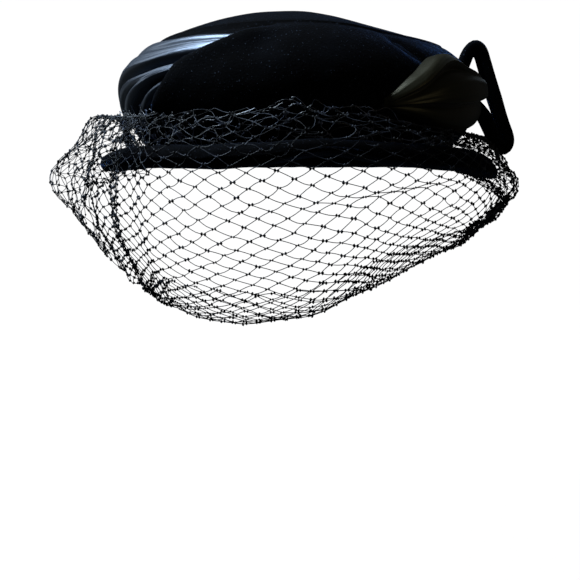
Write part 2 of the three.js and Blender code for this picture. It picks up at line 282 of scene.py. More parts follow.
def veilingThread(name, thread, paintedGlintColour, roughness, gleam):
    # twisted nylon thread: black against light; its short grey glints against dark cloth are painted
    # highlights, patches of a lighter colour
    look = {"paintedGlint": 8, "ply": 0.7, "plyDepth": 0.1}
    material, tree = newMaterial(name)
    place = addNode(tree, "ShaderNodeTexCoord").outputs["Object"]
    ply = addNoise(tree, place, look["ply"], 1.0)
    paintedGlint = addNoise(tree, place, look["paintedGlint"], 2.0)
    # painted highlight: where this noise peaks, the thread's colour turns lighter, for glints of light along
    # it
    paintedShine = addRange(tree, paintedGlint, {"From Min": 0.47, "From Max": 0.62})
    addShader(tree, {"Roughness": roughness, "Specular IOR Level": gleam},
              {"Base Color": addMix(tree, paintedShine, thread, paintedGlintColour),
               "Normal": addBump(tree, ply, 0.4, look["plyDepth"])})
    return material


velvet = silkVelvet()
# the same satin in two painted-light copies: the left one blue-tinted with a strong gleam, painted cool light
# from the window; the right one darker olive with a warm, weak gleam, painted warm shade
satinLeft = silkSatin("silk satin", "#04060a", "#080d16", "#c4dbff", 0.62)
satinRight = silkSatin("silk satin, painted warm shade copy", "#0e0f06", "#17140a", "#f2e6b4", 0.26)
# the second colour of each thread is its painted glint; the crushed gather is the same thread in a lighter,
# glossier copy with brighter painted glints, painted light for where the window catches it
thread = veilingThread("nylon veiling thread", "#030304", "#30343d", 0.5, 0.16)
paintedLitThread = veilingThread("nylon veiling thread, glossier lit copy with painted glints", "#0c0e14", "#515b70", 0.36, 0.6)
print("hat: materials made")


crown = {
    "foot": 11.5,
    "seam": 64,
    "wall": 2.5,
    "mmPerTurn": 1.8,      # about how far one degree is along the front
    "profile": table(
        "height wide long",
        (9, 84, 96), (11.5, 86, 98), (17, 91, 104), (26, 95.5, 108.5), (36, 97, 110), (46, 95, 107.5),
        (55, 89.5, 101.5), (61, 83, 94.5), (64, 78, 89)),
    "seamDrop": table(
        "turn drop",
        (-180, 1), (-120, 2.5), (-75, 2), (-35, 0.5), (0, 0), (16, 1), (34, 3.6), (60, 4), (90, 2),
        (130, 2.5), (180, 1)),
    # soft valleys in the wall, each running up and leaning over
    "folds": table(
        "turn spread depth height reach lean",
        (-12, 5, 1.0, 50, 14, 0.3), (4, 4, 0.6, 34, 16, -0.2), (20, 5, 1.1, 30, 16, 0.25),
        (35, 3.2, 2.0, 55, 9, -0.8), (108, 6, 2.2, 44, 16, 0.5), (124, 5, 1.6, 36, 14, -0.3),
        (150, 7, 2.0, 36, 18, 0.4), (172, 5, 1.4, 44, 15, -0.4), (-160, 6, 1.6, 38, 16, 0.3),
        (-135, 6, 2.0, 42, 18, -0.5), (-116, 5, 1.6, 38, 14, 0.4)),
    # where the front velvet laps over the satin drape
    "lapEdge": table(
        "height turn",
        (20, -50), (27, -47.2), (33.5, -43.5), (39.5, -39.8), (46, -36.5), (51.8, -28.8), (57.5, -19),
        (64, -6)),
    "lap": {"lift": 2.4, "round": (-1.6, 1.4), "flat": 2, "fade": 15, "rises": (20, 30), "ends": (57, 63)},
    # the hollows that the drape and the puff lie in
    "bed": {"depth": 3.4, "edge": (-2.4, 0.4), "back": (-110, -101), "rises": (12, 20), "ends": (62.5, 64)},
    "puffBed": {"turn": 50, "height": 33, "spread": 17, "reach": 13, "depth": 1.6},
    "lumps": layers((24, 0.7, 3.1), (8, 0.25, 7.7)),
    # the foot and the seam keep their true form
    "still": {"foot": (9, 16), "seam": (60, 64), "share": 0.7},
    "rollRise": 1.2,
    "rollBack": 1.44,
    "rollSteps": 7,
    "around": 400,
    "wallRows": (9, 56, 44),
    "edgeRows": (57, 64, 12),
    "insideRows": (62, 58, 52, 44, 34, 24, 16, 10),
}


def crownSeam(turn):
    return crown["seam"] - follow(crown["seamDrop"], "turn", "drop", turn)


def crownPoint(turn, height, off=0.0):
    # smooth outer face of the crown wall, moved straight out by off
    wide = follow(crown["profile"], "height", "wide", height) + off
    long = follow(crown["profile"], "height", "long", height) + off
    stretch = (crownSeam(turn) - crown["foot"]) / (crown["seam"] - crown["foot"])
    return ovalPoint(turn, wide, long, crown["foot"] + (height - crown["foot"]) * stretch)


def crownNormal(turn, height, turnStep=0.5, heightStep=0.4):
    around = crownPoint(turn + turnStep, height) - crownPoint(turn - turnStep, height)
    upper = crownPoint(turn, np.minimum(height + heightStep, crown["seam"]))
    normal = np.cross(around, upper - crownPoint(turn, height - heightStep))
    return normal / np.linalg.norm(normal, axis=-1, keepdims=True)


def lapLift(turn, height):
    # the velvet's edge rolls over the satin, which lies in a hollow beside it
    lap, bed, puffBed = crown["lap"], crown["bed"], crown["puffBed"]
    past = (turn - follow(crown["lapEdge"], "height", "turn", height)) * crown["mmPerTurn"]
    lift = lap["lift"] * ease(*lap["round"], past) * bell(np.maximum(past - lap["flat"], 0), lap["fade"])
    lift = lift * ease(*lap["rises"], height) * (1 - ease(*lap["ends"], height))
    hollow = (1 - ease(*bed["edge"], past)) * ease(*bed["back"], turn)
    hollow = hollow * ease(*bed["rises"], height) * (1 - ease(*bed["ends"], height))
    under = bell(turn - puffBed["turn"], puffBed["spread"])
    under = under * bell(height - puffBed["height"], puffBed["reach"])
    return lift - bed["depth"] * hollow - puffBed["depth"] * under


def crownSurface(turn, height):
    # the crown wall as the velvet really lies on it
    turn, height = np.broadcast_arrays(turn, height)
    base = crownPoint(turn, height)
    off = lapLift(turn, height) + lumps(base, crown["lumps"])
    for fold in crown["folds"]:
        up = height - fold["height"]
        across = turn - fold["turn"] - fold["lean"] * up
        off = off - fold["depth"] * bell(across, fold["spread"]) * bell(up, fold["reach"])
    still = crown["still"]
    free = ease(*still["foot"], height) * (1 - still["share"] * ease(*still["seam"], height))
    return base + crownNormal(turn, height) * (off * free)[..., None]


def makeCrownSide():
    turns = turnsRound(crown["around"])
    heights = np.concatenate([np.linspace(*crown["wallRows"]), np.linspace(*crown["edgeRows"])])
    outer = crownSurface(turns[:, None], heights[None, :])
    # the rolled edge at the seam, then the inner wall back down
    top = crownPoint(turns, crown["seam"])
    inward = ovalPoint(turns, -1.0, -1.0, 0.0)
    roll = []
    for step in range(1, crown["rollSteps"]):
        angle = math.pi * step / crown["rollSteps"]
        rise = np.array([0, 0, crown["rollRise"] * math.sin(angle)])
        roll.append(top + inward * crown["rollBack"] * (1 - math.cos(angle)) + rise)
    inside = [crownPoint(turns, height, -crown["wall"]) for height in crown["insideRows"]]
    loops = np.concatenate([outer, np.stack(roll, 1), np.stack(inside, 1)], axis=1)
    return ringMesh("crown_side_velvet", loops, velvet)


tip = {
    "wide": 78, "long": 89, "rise": 16.5, "slope": -0.025, "wall": 2.5, "gap": 0.3,
    "tuck": {"depth": 1.5, "reach": (0.93, 1)},
    "innerEdge": 0.8,
    "around": 320,
    "edgeRings": (1, 0.94, 8),
    "rings": (0.92, 0.03, 44),
    "lumps": layers((22, 0.6, 1.7)),
    "dents": table(
        "x y spread depth",
        (44, -22, 32, 6.0), (-50, -30, 20, 1.4), (-20, 52, 24, 2.2), (48, 44, 22, 1.8)),
    # long soft folds in the draped tip: valleys that sway along lines at those angles
    "folds": table(
        "x y angle spread depth reach",
        (-30, 14, 24, 5, 1.5, 46), (8, 38, 8, 6, 1.7, 50), (34, -2, -28, 5, 1.3, 40),
        (-6, -34, 12, 5, 0.9, 44)),
    "sway": 5,
    "swayLength": 22,
}


def tipPoint(turn, reach, inset=0.0):
    point = ovalPoint(turn, (tip["wide"] - inset) * reach, (tip["long"] - inset) * reach, 0.0)
    x, y = point[..., 0], point[..., 1]
    drop = 0.0
    for dent in tip["dents"]:
        near = bell(x - dent["x"], dent["spread"]) * bell(y - dent["y"], dent["spread"])
        drop = drop + dent["depth"] * near
    for fold in tip["folds"]:
        c, s = math.cos(math.radians(fold["angle"])), math.sin(math.radians(fold["angle"]))
        along = (x - fold["x"]) * c + (y - fold["y"]) * s
        across = (y - fold["y"]) * c - (x - fold["x"]) * s + tip["sway"] * np.sin(along / tip["swayLength"])
        drop = drop + fold["depth"] * bell(across, fold["spread"]) * bell(along, fold["reach"])
    drop = drop - lumps(point, tip["lumps"])
    edge = crownSeam(turn) * reach ** 2 + crown["seam"] * (1 - reach ** 2)
    dome = tip["rise"] * (1 - reach ** 2) + (tip["slope"] * x - drop) * (1 - reach ** 4)
    point[..., 2] = edge + tip["gap"] + dome - inset
    return point


def makeCrownTop():
    turns = turnsRound(tip["around"])
    reaches = np.concatenate([np.linspace(*tip["edgeRings"]), np.linspace(*tip["rings"])])
    outer = tipPoint(turns[:, None], reaches[None, :])
    # the edge turns under, towards the seam
    outer[..., 2] -= tip["tuck"]["depth"] * ease(*tip["tuck"]["reach"], reaches)[None, :]
    inner = tipPoint(turns[:, None], reaches[None, :], tip["wall"])
    inner[:, 0, 2] += tip["innerEdge"]
    poles = [tipPoint(np.array([0.0]), np.array([0.0]), inset) for inset in (0.0, tip["wall"])]
    points = np.concatenate([outer.reshape(-1, 3), inner.reshape(-1, 3), *poles])
    count, rings = outer.shape[:2]
    half = count * rings
    faces = gridFaces(count, rings, closedRows=True) + gridFaces(count, rings, half, True, closedRows=True)
    for i in range(count):
        a, b = i * rings, (i + 1) % count * rings
        faces.append((a, half + a, half + b, b))
        last = rings - 1
        faces.append((a + last, b + last, 2 * half))
        faces.append((half + b + last, half + a + last, 2 * half + 1))
    return makeMesh("crown_top_velvet", points, faces, velvet)


crownSide = makeCrownSide()
crownTop = makeCrownTop()
print("hat: crown draped")


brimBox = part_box("brim")
brim = {
    "openWide": 80, "openLong": 93,
    "wide": brimBox[1][0] / mm, "long": brimBox[1][1] / mm,
    "middle": 4.5, "innerHalf": 5.2, "outerHalf": 5.6,
    "section": table(
        "reach full",
        (0, 0.2), (0.03, 0.66), (0.12, 0.91), (0.32, 1), (0.55, 1), (0.78, 0.95), (0.9, 0.75), (0.97, 0.44),
        (1, 0)),
    "arch": {"turn": 8, "spread": 13, "lift": 4.2, "rim": (0.85, 1), "rimShare": 0.66},
    "wave": table(
        "turn lift",
        (-180, -2), (-125, -1), (-85, -4.5), (-45, -1), (-14, -1.2), (6, 2.5), (24, 0), (50, -3.5),
        (84, -9.5), (130, -2), (180, -2)),
    "bend": 1.5,
    "lumps": layers((26, 0.7, 5.2), (9, 0.35, 2.4)),
    "padded": (0.1, 0.4),
    "waver": layers((18, 0.5, 9.1)),
    "rim": (0.8, 1),
    "around": 360,
    "reaches": [0, 0.01, 0.03, 0.07, *np.linspace(0.12, 0.84, 12), 0.89, 0.93, 0.96, 0.98, 0.993, 1],
}


def brimPoint(turn, reach, side):
    # side is 1 on the upper face and -1 on the lower one
    arch = brim["arch"]
    under = arch["lift"] * bell(turn - arch["turn"], arch["spread"]) * (0.5 - 0.5 * side)
    under = under * (1 - arch["rimShare"] * ease(*arch["rim"], reach))
    half = brim["innerHalf"] + (brim["outerHalf"] - brim["innerHalf"]) * reach
    half = half * follow(brim["section"], "reach", "full", reach)
    wave = follow(brim["wave"], "turn", "lift", turn) * reach ** brim["bend"]
    wide = brim["openWide"] + (brim["wide"] - brim["openWide"]) * reach
    long = brim["openLong"] + (brim["long"] - brim["openLong"]) * reach
    return ovalPoint(turn, wide, long, brim["middle"] + wave + side * half + under)


def makeBrim():
    turns = turnsRound(brim["around"])[:, None]
    reaches = np.array(brim["reaches"])
    back = reaches[-2::-1]
    faces = [brimPoint(turns, reaches[None, :], 1), brimPoint(turns, back[None, :], -1)]
    loops = np.concatenate(faces, axis=1)
    place = np.concatenate([reaches, back])
    rise = lumps(loops, brim["lumps"]) * ease(*brim["padded"], place)
    loops = loops + np.array([0, 0, 1]) * rise[..., None]
    waver = lumps(loops, brim["waver"]) * ease(*brim["rim"], place)
    return ringMesh("brim_velvet", loops + ovalPoint(turns, 1.0, 1.0, 0.0) * waver[..., None], velvet)


brimPiece = makeBrim()
print("hat: brim padded")


def pleats(alongs, *lines):
    # each line has a turn, a height and a lift at every one of those shares of its length
    return [table("along turn height lift", *((along, *spot) for along, spot in zip(alongs, line)))
            for line in lines]


def loftTrim(trim):
    # runs the cloth over its named pleat lines: low edge first, each a valley or a crest
    length, steps = trim["steps"]
    along = np.linspace(trim["from"], 1, length)
    inside, beyond = np.maximum(along, 0), np.minimum(along, 0)
    start = 0.05
    turns, heights, lifts = [], [], []
    for line in trim["lines"]:
        slope = (follow(line, "along", "turn", start) - follow(line, "along", "turn", 0.0)) / start
        turns.append(follow(line, "along", "turn", inside) + beyond * slope)
        heights.append(follow(line, "along", "height", inside))
        lifts.append(follow(line, "along", "lift", inside))
    turnGrid, heightGrid, liftGrid = [], [], []
    for k in range(len(turns) - 1):
        last = k == len(turns) - 2
        for t in np.linspace(0, 1, steps + 1)[: None if last else -1]:
            turnGrid.append(turns[k] * (1 - t) + turns[k + 1] * t)
            heightGrid.append(heights[k] * (1 - t) + heights[k + 1] * t)
            # round over a crest, sharp in a valley
            climbs = np.mean(lifts[k + 1]) > np.mean(lifts[k])
            share = math.sin(0.5 * math.pi * t) if climbs else 1 - math.cos(0.5 * math.pi * t)
            liftGrid.append(lifts[k] * (1 - share) + lifts[k + 1] * share)
    turn, height, lift = (np.stack(grid, 1) for grid in (turnGrid, heightGrid, liftGrid))
    across = np.linspace(0, 1, turn.shape[1])[None, :]
    return along[:, None], across, lift, crownPoint(turn, height), crownNormal(turn, height)


def wrinkles(trim, along, across):
    # fine creases that run along the pleats
    crease = trim["crease"]
    spots = np.stack(np.broadcast_arrays(along * crease["along"], across * crease["across"], 0.0), -1)
    return crease["depth"] * softNoise(spots, 1.0, crease["seed"])


drape = {
    "from": -0.1,
    "sink": 2.4,
    "backing": 5.0,
    "backEdge": 0.8,
    "tuck": {"depth": 2.2, "to": 0.02},
    "gather": {"depth": 1.2, "from": 0.93},
    "edge": 0.1,
    "creased": 0.3,
    "crease": {"along": 4, "across": 34, "depth": 0.28, "seed": 4.0},
    "steps": (120, 9),
    "lines": pleats(
        (0, 0.35, 0.7, 1),
        ((-47, 28, 0.4), (-50, 24, 0.4), (-53, 20, 0.4), (-55, 16.5, 0.4)),
        ((-41.2, 37.5, 3.2), (-46.5, 33, 4.4), (-52.5, 26, 4.0), (-59, 17, 2.2)),
        ((-38.6, 41.6, 0.4), (-46.6, 37.6, 0), (-55.5, 29, 0), (-64, 17.5, 0.4)),
        ((-37.4, 43.8, 3.2), (-47, 40.6, 4.8), (-60, 32.5, 4.6), (-70, 18, 2.4)),
        ((-36.6, 45, 3.0), (-47.3, 41.8, 4.4), (-64.5, 34.2, 1.6), (-76, 18.5, 0.4)),
        ((-35.8, 46.2, 2.6), (-47.6, 43.4, 3.6), (-69, 37.4, 4.2), (-82, 19, 2.2)),
        ((-33, 48.8, 0.2), (-48, 46, 0), (-73.5, 40, 0), (-87, 19.5, 0.4)),
        ((-28.5, 52.4, 3.0), (-47.5, 49, 5.0), (-76, 43.8, 5.0), (-92, 20, 2.4)),
        ((-24.5, 54.8, 2.8), (-46, 52.4, 4.2), (-77.5, 48, 4.6), (-95, 20.5, 2.0)),
        ((-21.5, 56.8, 1.6), (-44.5, 55.9, 2.6), (-78.5, 52, 3.2), (-97, 21, 1.2)),
        ((-19.5, 58.2, 2.2), (-42.5, 58.2, 3.6), (-79.5, 55.4, 3.4), (-99, 21.5, 1.4)),
        ((-18.5, 60.4, 0.4), (-41, 61.6, 0.8), (-80, 60, 0.8), (-101, 22, 0.2))),
}


def makeDrape():
    along, across, lift, base, normal = loftTrim(drape)
    tuck, gather, edge = drape["tuck"], drape["gather"], drape["edge"]
    rise = lift - drape["sink"] + wrinkles(drape, along, across) * ease(0, drape["creased"], along)
    # the wide end goes in under the velvet, and the other end into its gathers
    rise = rise - tuck["depth"] * (1 - ease(drape["from"], tuck["to"], along))
    rise = rise - gather["depth"] * ease(gather["from"], 1, along)
    thin = 1 - ease(0, edge, across) * (1 - ease(1 - edge, 1, across))
    outer = base + normal * rise[..., None]
    inner = base + normal * (drape["backEdge"] * thin - drape["backing"])[..., None]
    return sheetMesh("satin_drape_left_pleats", outer, inner, satinLeft)


puff = {
    "from": 0,
    "sink": 0.8,
    "backing": 2.4,
    "swell": 5.6,
    "crisp": 1.4,
    "full": 0.8,
    "firm": 1.4,
    "hem": 0.02,
    "edge": 0.04,
    "crease": {"along": 5, "across": 20, "depth": 0.3, "seed": 8.0},
    "steps": (110, 11),
    "lines": pleats(
        (0, 0.2, 0.4, 0.6, 0.8, 1),
        ((22.6, 25.6, 0), (33, 22.2, 0), (42.5, 17, 0), (53, 16.6, 0),
         (66, 21.5, 0), (77.5, 31, 0)),
        ((22.8, 26, 0), (33, 24.8, 2.0), (43.6, 21, 3.0), (54.5, 21.4, 3.2),
         (66.5, 25.6, 2.4), (77.5, 33, 0)),
        ((22.8, 26.3, 0), (33, 28.4, 0), (43.8, 29.4, 0), (55, 31.6, 0),
         (66.5, 34.4, 0), (77.5, 36.8, 0)),
        ((22.8, 26.8, 0.2), (33, 30.2, 2.6), (43.8, 31.6, 3.4), (55.2, 33.6, 3.4),
         (66.5, 36, 2.6), (77.5, 37.4, 0)),
        ((22.8, 27.2, 0.2), (32.8, 32, 1.8), (43.6, 36.6, 3.0), (55.4, 38.8, 3.4),
         (66.5, 40, 2.6), (77.5, 38.2, 0)),
        ((22.8, 27.6, 0), (32.4, 35.2, 0), (42, 44, 0), (53.6, 44.4, 0.8),
         (66.5, 43, 1.6), (77.4, 39, 0)),
        ((22.8, 28, 0.2), (32, 37.2, 2.4), (41.6, 46.2, 3.6), (53, 46, 2.2),
         (66.5, 44.2, 1.6), (77.3, 39.6, 0)),
        ((22.7, 28.6, 0.2), (31.6, 39.8, 2.2), (41.2, 49.4, 3.4), (52.4, 47.4, 1.8),
         (66.5, 45.4, 0.9), (77.2, 40.2, 0)),
        ((22.6, 29.2, 0), (31, 42.2, 0), (41, 52.6, 0), (52, 48.4, 0),
         (66.5, 46.4, 0), (77, 40.8, 0))),
}


def makePuff():
    along, across, lift, base, normal = loftTrim(puff)
    level = puff["hem"] + (1 - 2 * puff["hem"]) * across
    pillow = np.sin(math.pi * along ** puff["full"]) * np.sin(math.pi * level)
    pillow = np.sqrt(np.clip(pillow, 0, 1))
    rise = puff["swell"] * pillow + puff["crisp"] * lift * np.minimum(1, pillow * puff["firm"])
    rise = rise + wrinkles(puff, along, across) * pillow - puff["sink"]
    edge = ease(0, puff["edge"], along) * (1 - ease(1 - puff["edge"], 1, along))
    rise = rise * edge - puff["sink"] * (1 - edge)
    outer = base + normal * rise[..., None]
    return sheetMesh("satin_puff_right_folds", outer, base - normal * puff["backing"], satinRight)


drapePiece = makeDrape()
puffPiece = makePuff()
print("hat: satin trims pleated")


bow = {
    "depth": 24, "thick": 7.2, "middle": 1, "lean": 8,
    "sides": 0.45, "faces": 0.7,       # below 1, these square off the strip's section
    "fullEdge": 0.12,
    "lumps": layers((14, 0.5, 6.0)),
    "steps": 110, "around": 36,
    "route": table(
        "x z",
        (91.4, 54.5), (94, 61.2), (97.2, 64.2), (100.6, 62), (103.4, 55), (106.6, 45), (110.4, 34),
        (114.4, 23), (117.4, 13.4), (115.4, 9.2), (111.4, 12.4), (107.6, 20), (103.4, 27.5), (97.6, 34)),
}


def curveThrough(points, count, fineSteps=600):
    # even steps along a smooth curve through the points
    knots = np.concatenate([[0], np.cumsum(np.sqrt(np.linalg.norm(np.diff(points, axis=0), axis=1)))])
    axes = range(points.shape[1])
    rows = [{"t": t, **{k: point[k] for k in axes}} for t, point in zip(knots, points)]
    fine = np.linspace(0, knots[-1], fineSteps)
    line = np.stack([follow(rows, "t", k, fine) for k in axes], -1)
    length = np.concatenate([[0], np.cumsum(np.linalg.norm(np.diff(line, axis=0), axis=1))])
    at = np.linspace(0, length[-1], count)
    return np.stack([np.interp(at, length, line[:, k]) for k in axes], -1)


def squared(wave, power):
    return np.sign(wave) * np.abs(wave) ** power


def makeBow():
    steps, around = bow["steps"], bow["around"]
    line = curveThrough(np.array([(row["x"], 0.0, row["z"]) for row in bow["route"]]), steps)
    ahead = np.gradient(line, axis=0)
    ahead /= np.linalg.norm(ahead, axis=1, keepdims=True)
    up = np.stack([-ahead[:, 2], np.zeros(steps), ahead[:, 0]], -1)
    lean = math.radians(bow["lean"])
    side = np.array([math.sin(lean), math.cos(lean), 0])
    angle = np.linspace(0, 2 * math.pi, around, endpoint=False)
    # a flat strip with soft full edges
    across = squared(np.cos(angle), bow["sides"]) * bow["depth"] / 2
    off = squared(np.sin(angle), bow["faces"]) * bow["thick"] / 2
    off = off * (1 + bow["fullEdge"] * np.cos(angle) ** 4)
    rings = (line[:, None] + np.array([0, bow["middle"], 0]) + side * across[None, :, None]
             + up[:, None] * off[None, :, None])
    rings = rings + up[:, None] * lumps(rings, bow["lumps"])[..., None]
    faces = gridFaces(steps, around, flip=True, closedColumns=True)
    points = rings.reshape(-1, 3)
    for ring, flip in ((0, False), (steps - 1, True)):
        points = np.concatenate([points, rings[ring].mean(axis=0)[None]])
        middle = len(points) - 1
        for j in range(around):
            a, b = ring * around + j, ring * around + (j + 1) % around
            faces.append((middle, a, b) if flip else (middle, b, a))
    return makeMesh("bow_loop_velvet", points, faces, velvet)


bowPiece = makeBow()
print("hat: bow folded")


veil = {
    "threadThick": 0.42,
    "knotLong": 2.7,
    # the four levels a, b, c and hem lie below the top edge, each that far out past the brim
    "form": table(
        "turn top aOut a bOut b cOut c hemOut hem",
        (-118, 21, 1, 17, 4, 9, 6, 1, 4, -6),
        (-102, 24, 4, 25, 11, 14, 21, -1, 12, -13),
        (-86, 25, 4, 26, 12, 14, 29, -6, 12, -30),
        (-70, 25, 0, 24, 9, 9, 17, -16, 0, -46),
        (-50, 24, -4, 21, 5, 9, 8, -24, -6, -60),
        (-25, 25, -4, 20, 4, 9, 5, -30, -6, -69.5),
        (0, 26, -4, 21, 4, 12, 5, -28, -4, -67.5),
        (15, 23, -4, 20, 4, 11, 5, -25, -4, -56.5),
        (30, 19, -4, 17, 4, 8, 4.5, -20, -6, -46),
        (50, 17, -4, 14, 4, 4, 6, -15, -5, -37.5),
        (70, 16, -4, 12, 5, 0, 9, -11, -2, -27),
        (88, 16, -2, 9, 9, -1, 15, -10, 8, -22),
        (104, 16, 0, 9, 4, 3, 8, -2, 6, -10),
        (116, 16, 0, 13, 3, 8, 5, 2, 4, -5)),
    "topOff": 1.2,
    # mesh columns round the hat; the net is bunched at both sides and doubled back at one fold
    "columns": table(
        "column turn out",
        (6, -118, 0), (12, -93, 0), (18, -68, 0), (24, -54, 1), (26, -46, 2), (28, -52, -3), (30, -45, -4),
        (32, -36, -1), (45, 46, 0), (53, 72, 0), (60, 116, 0)),
    # half rows down the veil; past the hem the net turns up again behind itself
    "rows": table("row share behind", (0, 0, 0), (9, 0.31, 0), (25, 0.8, 0), (37, 1, 1), (45, 0.86, 4)),
    # a single loose edge up to that column, from which the net is turned up step by step
    "openHem": {"column": 18, "row": 24, "slant": 1.9, "single": (22, 29)},
    "parting": 31,         # column where the left and right pieces meet
    # on the wearer's left the hem is drawn up into a rope, and one row is pinched above it
    "rope": {"turn": (34, 62), "share": (0.6, 0.86), "to": 0.955, "pull": 0.72},
    "pinch": {"share": 0.5, "spread": 0.07, "turn": 22, "wide": 22, "pull": 0.8},
    "fold": {"first": 18, "last": 32, "from": -68, "to": -36, "fade": (24, 34)},
    "skew": table(
        "turn lean",
        (-120, 0), (-60, 0.02), (-25, 0.06), (5, 0.05), (30, -0.05), (60, -0.03), (120, 0)),
    "skewRow": 14,
    "skewMost": 15,
    "mesh": {"wide": 12, "half": 3.8},
    # unevenness in degrees of turn and in share of the way down: little in front, more at the sides
    # and where the net is pinned
    "stir": {
        "turn": layers((46, 1.8, 2.0), (17, 0.8, 5.0)),
        "share": layers((40, 0.03, 9.0), (16, 0.016, 3.0)),
        "front": 0.35, "sides": 0.9, "sideTurns": (44, 62),
        "loose": 3.2, "looseShares": (0.12, 0.38), "looseTurns": (48, 62),
        "hem": 0.8, "hemShares": (0.8, 1),
    },
    "tangle": {
        "turn": layers((9, 3.6, 41.0)),
        "share": layers((8, 0.045, 43.0)),
        "sideTurns": (46, 64), "topShares": (0.16, 0.36),
    },
    "crumple": {
        "sides": layers((34, 4.6, 7.0), (13, 2.6, 1.0)), "in": 1.0, "sideTurns": (46, 70),
        "front": layers((30, 0.8, 4.0)), "free": (0.1, 0.4),
    },
    # the turned hem lies in loose ripples
    "ripple": {
        "out": layers((20, 2.0, 6.0)), "outShares": (0.8, 1),
        "up": layers((22, 2.0, 12.0)), "upShares": (0.82, 0.94),
    },
    "sidePoints": 5,
    "jitter": {"column": 0.06, "row": 0.16, "sag": (-0.14, 0.24), "tilt": 0.4},
}


def veilPoint(turn, share, out=0.0):
    # one point of the veil's form, at a share of the way from the gathered edge to the hem
    value = {key: follow(veil["form"], "turn", key, turn) for key in veil["form"][0] if key != "turn"}
    stations = [crownPoint(turn, value["top"], veil["topOff"])]
    for name in ("a", "b", "c", "hem"):
        far = value[name + "Out"]
        stations.append(ovalPoint(turn, brim["wide"] + far, brim["long"] + far, value[name]))
    stations = np.stack(stations, 0)
    steps = np.linalg.norm(np.diff(stations, axis=0), axis=-1)
    knots = np.concatenate([np.zeros_like(steps[:1]), np.cumsum(steps, axis=0)])
    knots = knots / knots[-1]
    last = len(stations) - 1
    slopes = []
    for i in range(last + 1):
        before, after = max(i - 1, 0), min(i + 1, last)
        slopes.append((stations[after] - stations[before]) / (knots[after] - knots[before])[..., None])
    result = np.zeros(stations.shape[1:])
    for i in range(last):
        inside = (share >= knots[i]) & ((share <= knots[last]) if i == last - 1 else (share < knots[i + 1]))
        span = knots[i + 1] - knots[i]
        t = np.clip((share - knots[i]) / span, 0, 1)[..., None]
        part = cubic(t, span[..., None], stations[i], stations[i + 1], slopes[i], slopes[i + 1])
        result = np.where(inside[..., None], part, result)
    return result + ovalPoint(turn, out, out, 0.0)


def hemRow(column):
    # the last half row of the net at that column
    hem = veil["openHem"]
    return np.clip(hem["row"] + hem["slant"] * (column - hem["column"]), hem["row"], veil["rows"][-1]["row"])


def netPoint(column, row):
    # where the net's point at that column and half row lies
    column, row = np.broadcast_arrays(np.asarray(column, float), np.asarray(row, float))
    single = 1 - ease(*veil["openHem"]["single"], column)
    evenShare = np.clip(row / hemRow(column), 0, 1)
    turn = follow(veil["columns"], "column", "turn", column)
    lean = follow(veil["skew"], "turn", "lean", turn)
    column = column + lean * np.minimum(row - veil["skewRow"], veil["skewMost"])
    turn = follow(veil["columns"], "column", "turn", column)
    # the standing fold dies away before it reaches the hem
    fold = veil["fold"]
    across = np.clip((column - fold["first"]) / (fold["last"] - fold["first"]), 0, 1)
    level = fold["from"] + (fold["to"] - fold["from"]) * across
    fade = ease(*fold["fade"], row) * ((column > fold["first"]) & (column < fold["last"]))
    turn = turn + (level - turn) * fade
    out = follow(veil["columns"], "column", "out", column) * (1 - fade)
    out = out - follow(veil["rows"], "row", "behind", row)
    share = follow(veil["rows"], "row", "share", row)
    share = share + (evenShare - share) * single
    flat = np.stack([column * veil["mesh"]["wide"], row * veil["mesh"]["half"], np.zeros_like(column)], -1)
    stir, tangle, crumple, ripple = (veil[key] for key in ("stir", "tangle", "crumple", "ripple"))
    sides = stir["front"] + stir["sides"] * ease(*stir["sideTurns"], np.abs(turn))
    loose = (1 - ease(*stir["looseShares"], share)) * (1 - ease(*stir["looseTurns"], np.abs(turn)))
    free = sides * (1 + stir["loose"] * loose)
    turn = turn + lumps(flat, stir["turn"]) * free
    tangled = np.maximum(ease(*tangle["sideTurns"], np.abs(turn)), 1 - ease(*tangle["topShares"], share))
    turn = turn + lumps(flat, tangle["turn"]) * tangled
    drift = lumps(flat, stir["share"]) * free + lumps(flat, tangle["share"]) * tangled
    share = share + drift * (1 - stir["hem"] * ease(*stir["hemShares"], share))
    pinch = veil["pinch"]
    near = bell(share - pinch["share"], pinch["spread"]) * bell(turn - pinch["turn"], pinch["wide"])
    share = share + (pinch["share"] - share) * pinch["pull"] * near
    rope = veil["rope"]
    drawn = rope["pull"] * ease(*rope["turn"], turn) * ease(*rope["share"], share)
    share = share + (rope["to"] - share) * drawn
    bulge = (lumps(flat, crumple["sides"]) - crumple["in"]) * ease(*crumple["sideTurns"], np.abs(turn))
    bulge = bulge + lumps(flat, crumple["front"])
    bulge = bulge + lumps(flat, ripple["out"]) * ease(*ripple["outShares"], share)
    bulge = bulge * ease(*crumple["free"], share)
    point = veilPoint(turn, np.clip(share, 0, 1), out + bulge)
    point[..., 2] += lumps(flat, ripple["up"]) * ease(*ripple["upShares"], share)
    return point


veilGather = {
    "columns": 46,
    "rows": 8,
    "span": table("column turn", (0, -92), (16, -66), (28, -42), (34, -20), (46, 58)),
    "height": table(
        "turn low high",
        (-92, 12, 25), (-66, 12, 27), (-42, 10, 26), (-20, 11, 24), (-2, 12, 29), (14, 13, 27),
        (30, 11, 20), (58, 10, 15)),
    "mesh": {"wide": 9, "half": 7},
    "stirTurn": layers((15, 3.0, 21.0), (6, 2.0, 24.0)),
    "stirHeight": layers((13, 3.4, 27.0), (6, 2.2, 29.0)),
    "stirOff": layers((10, 1.8, 31.0)),
    "off": 3.0,
    "flare": 5.0,
    "flareShares": (0.2, 1),
    "closest": 1.2,
    "lowest": 9.5,
    "highest": 60,
    "normalFrom": 12,
}


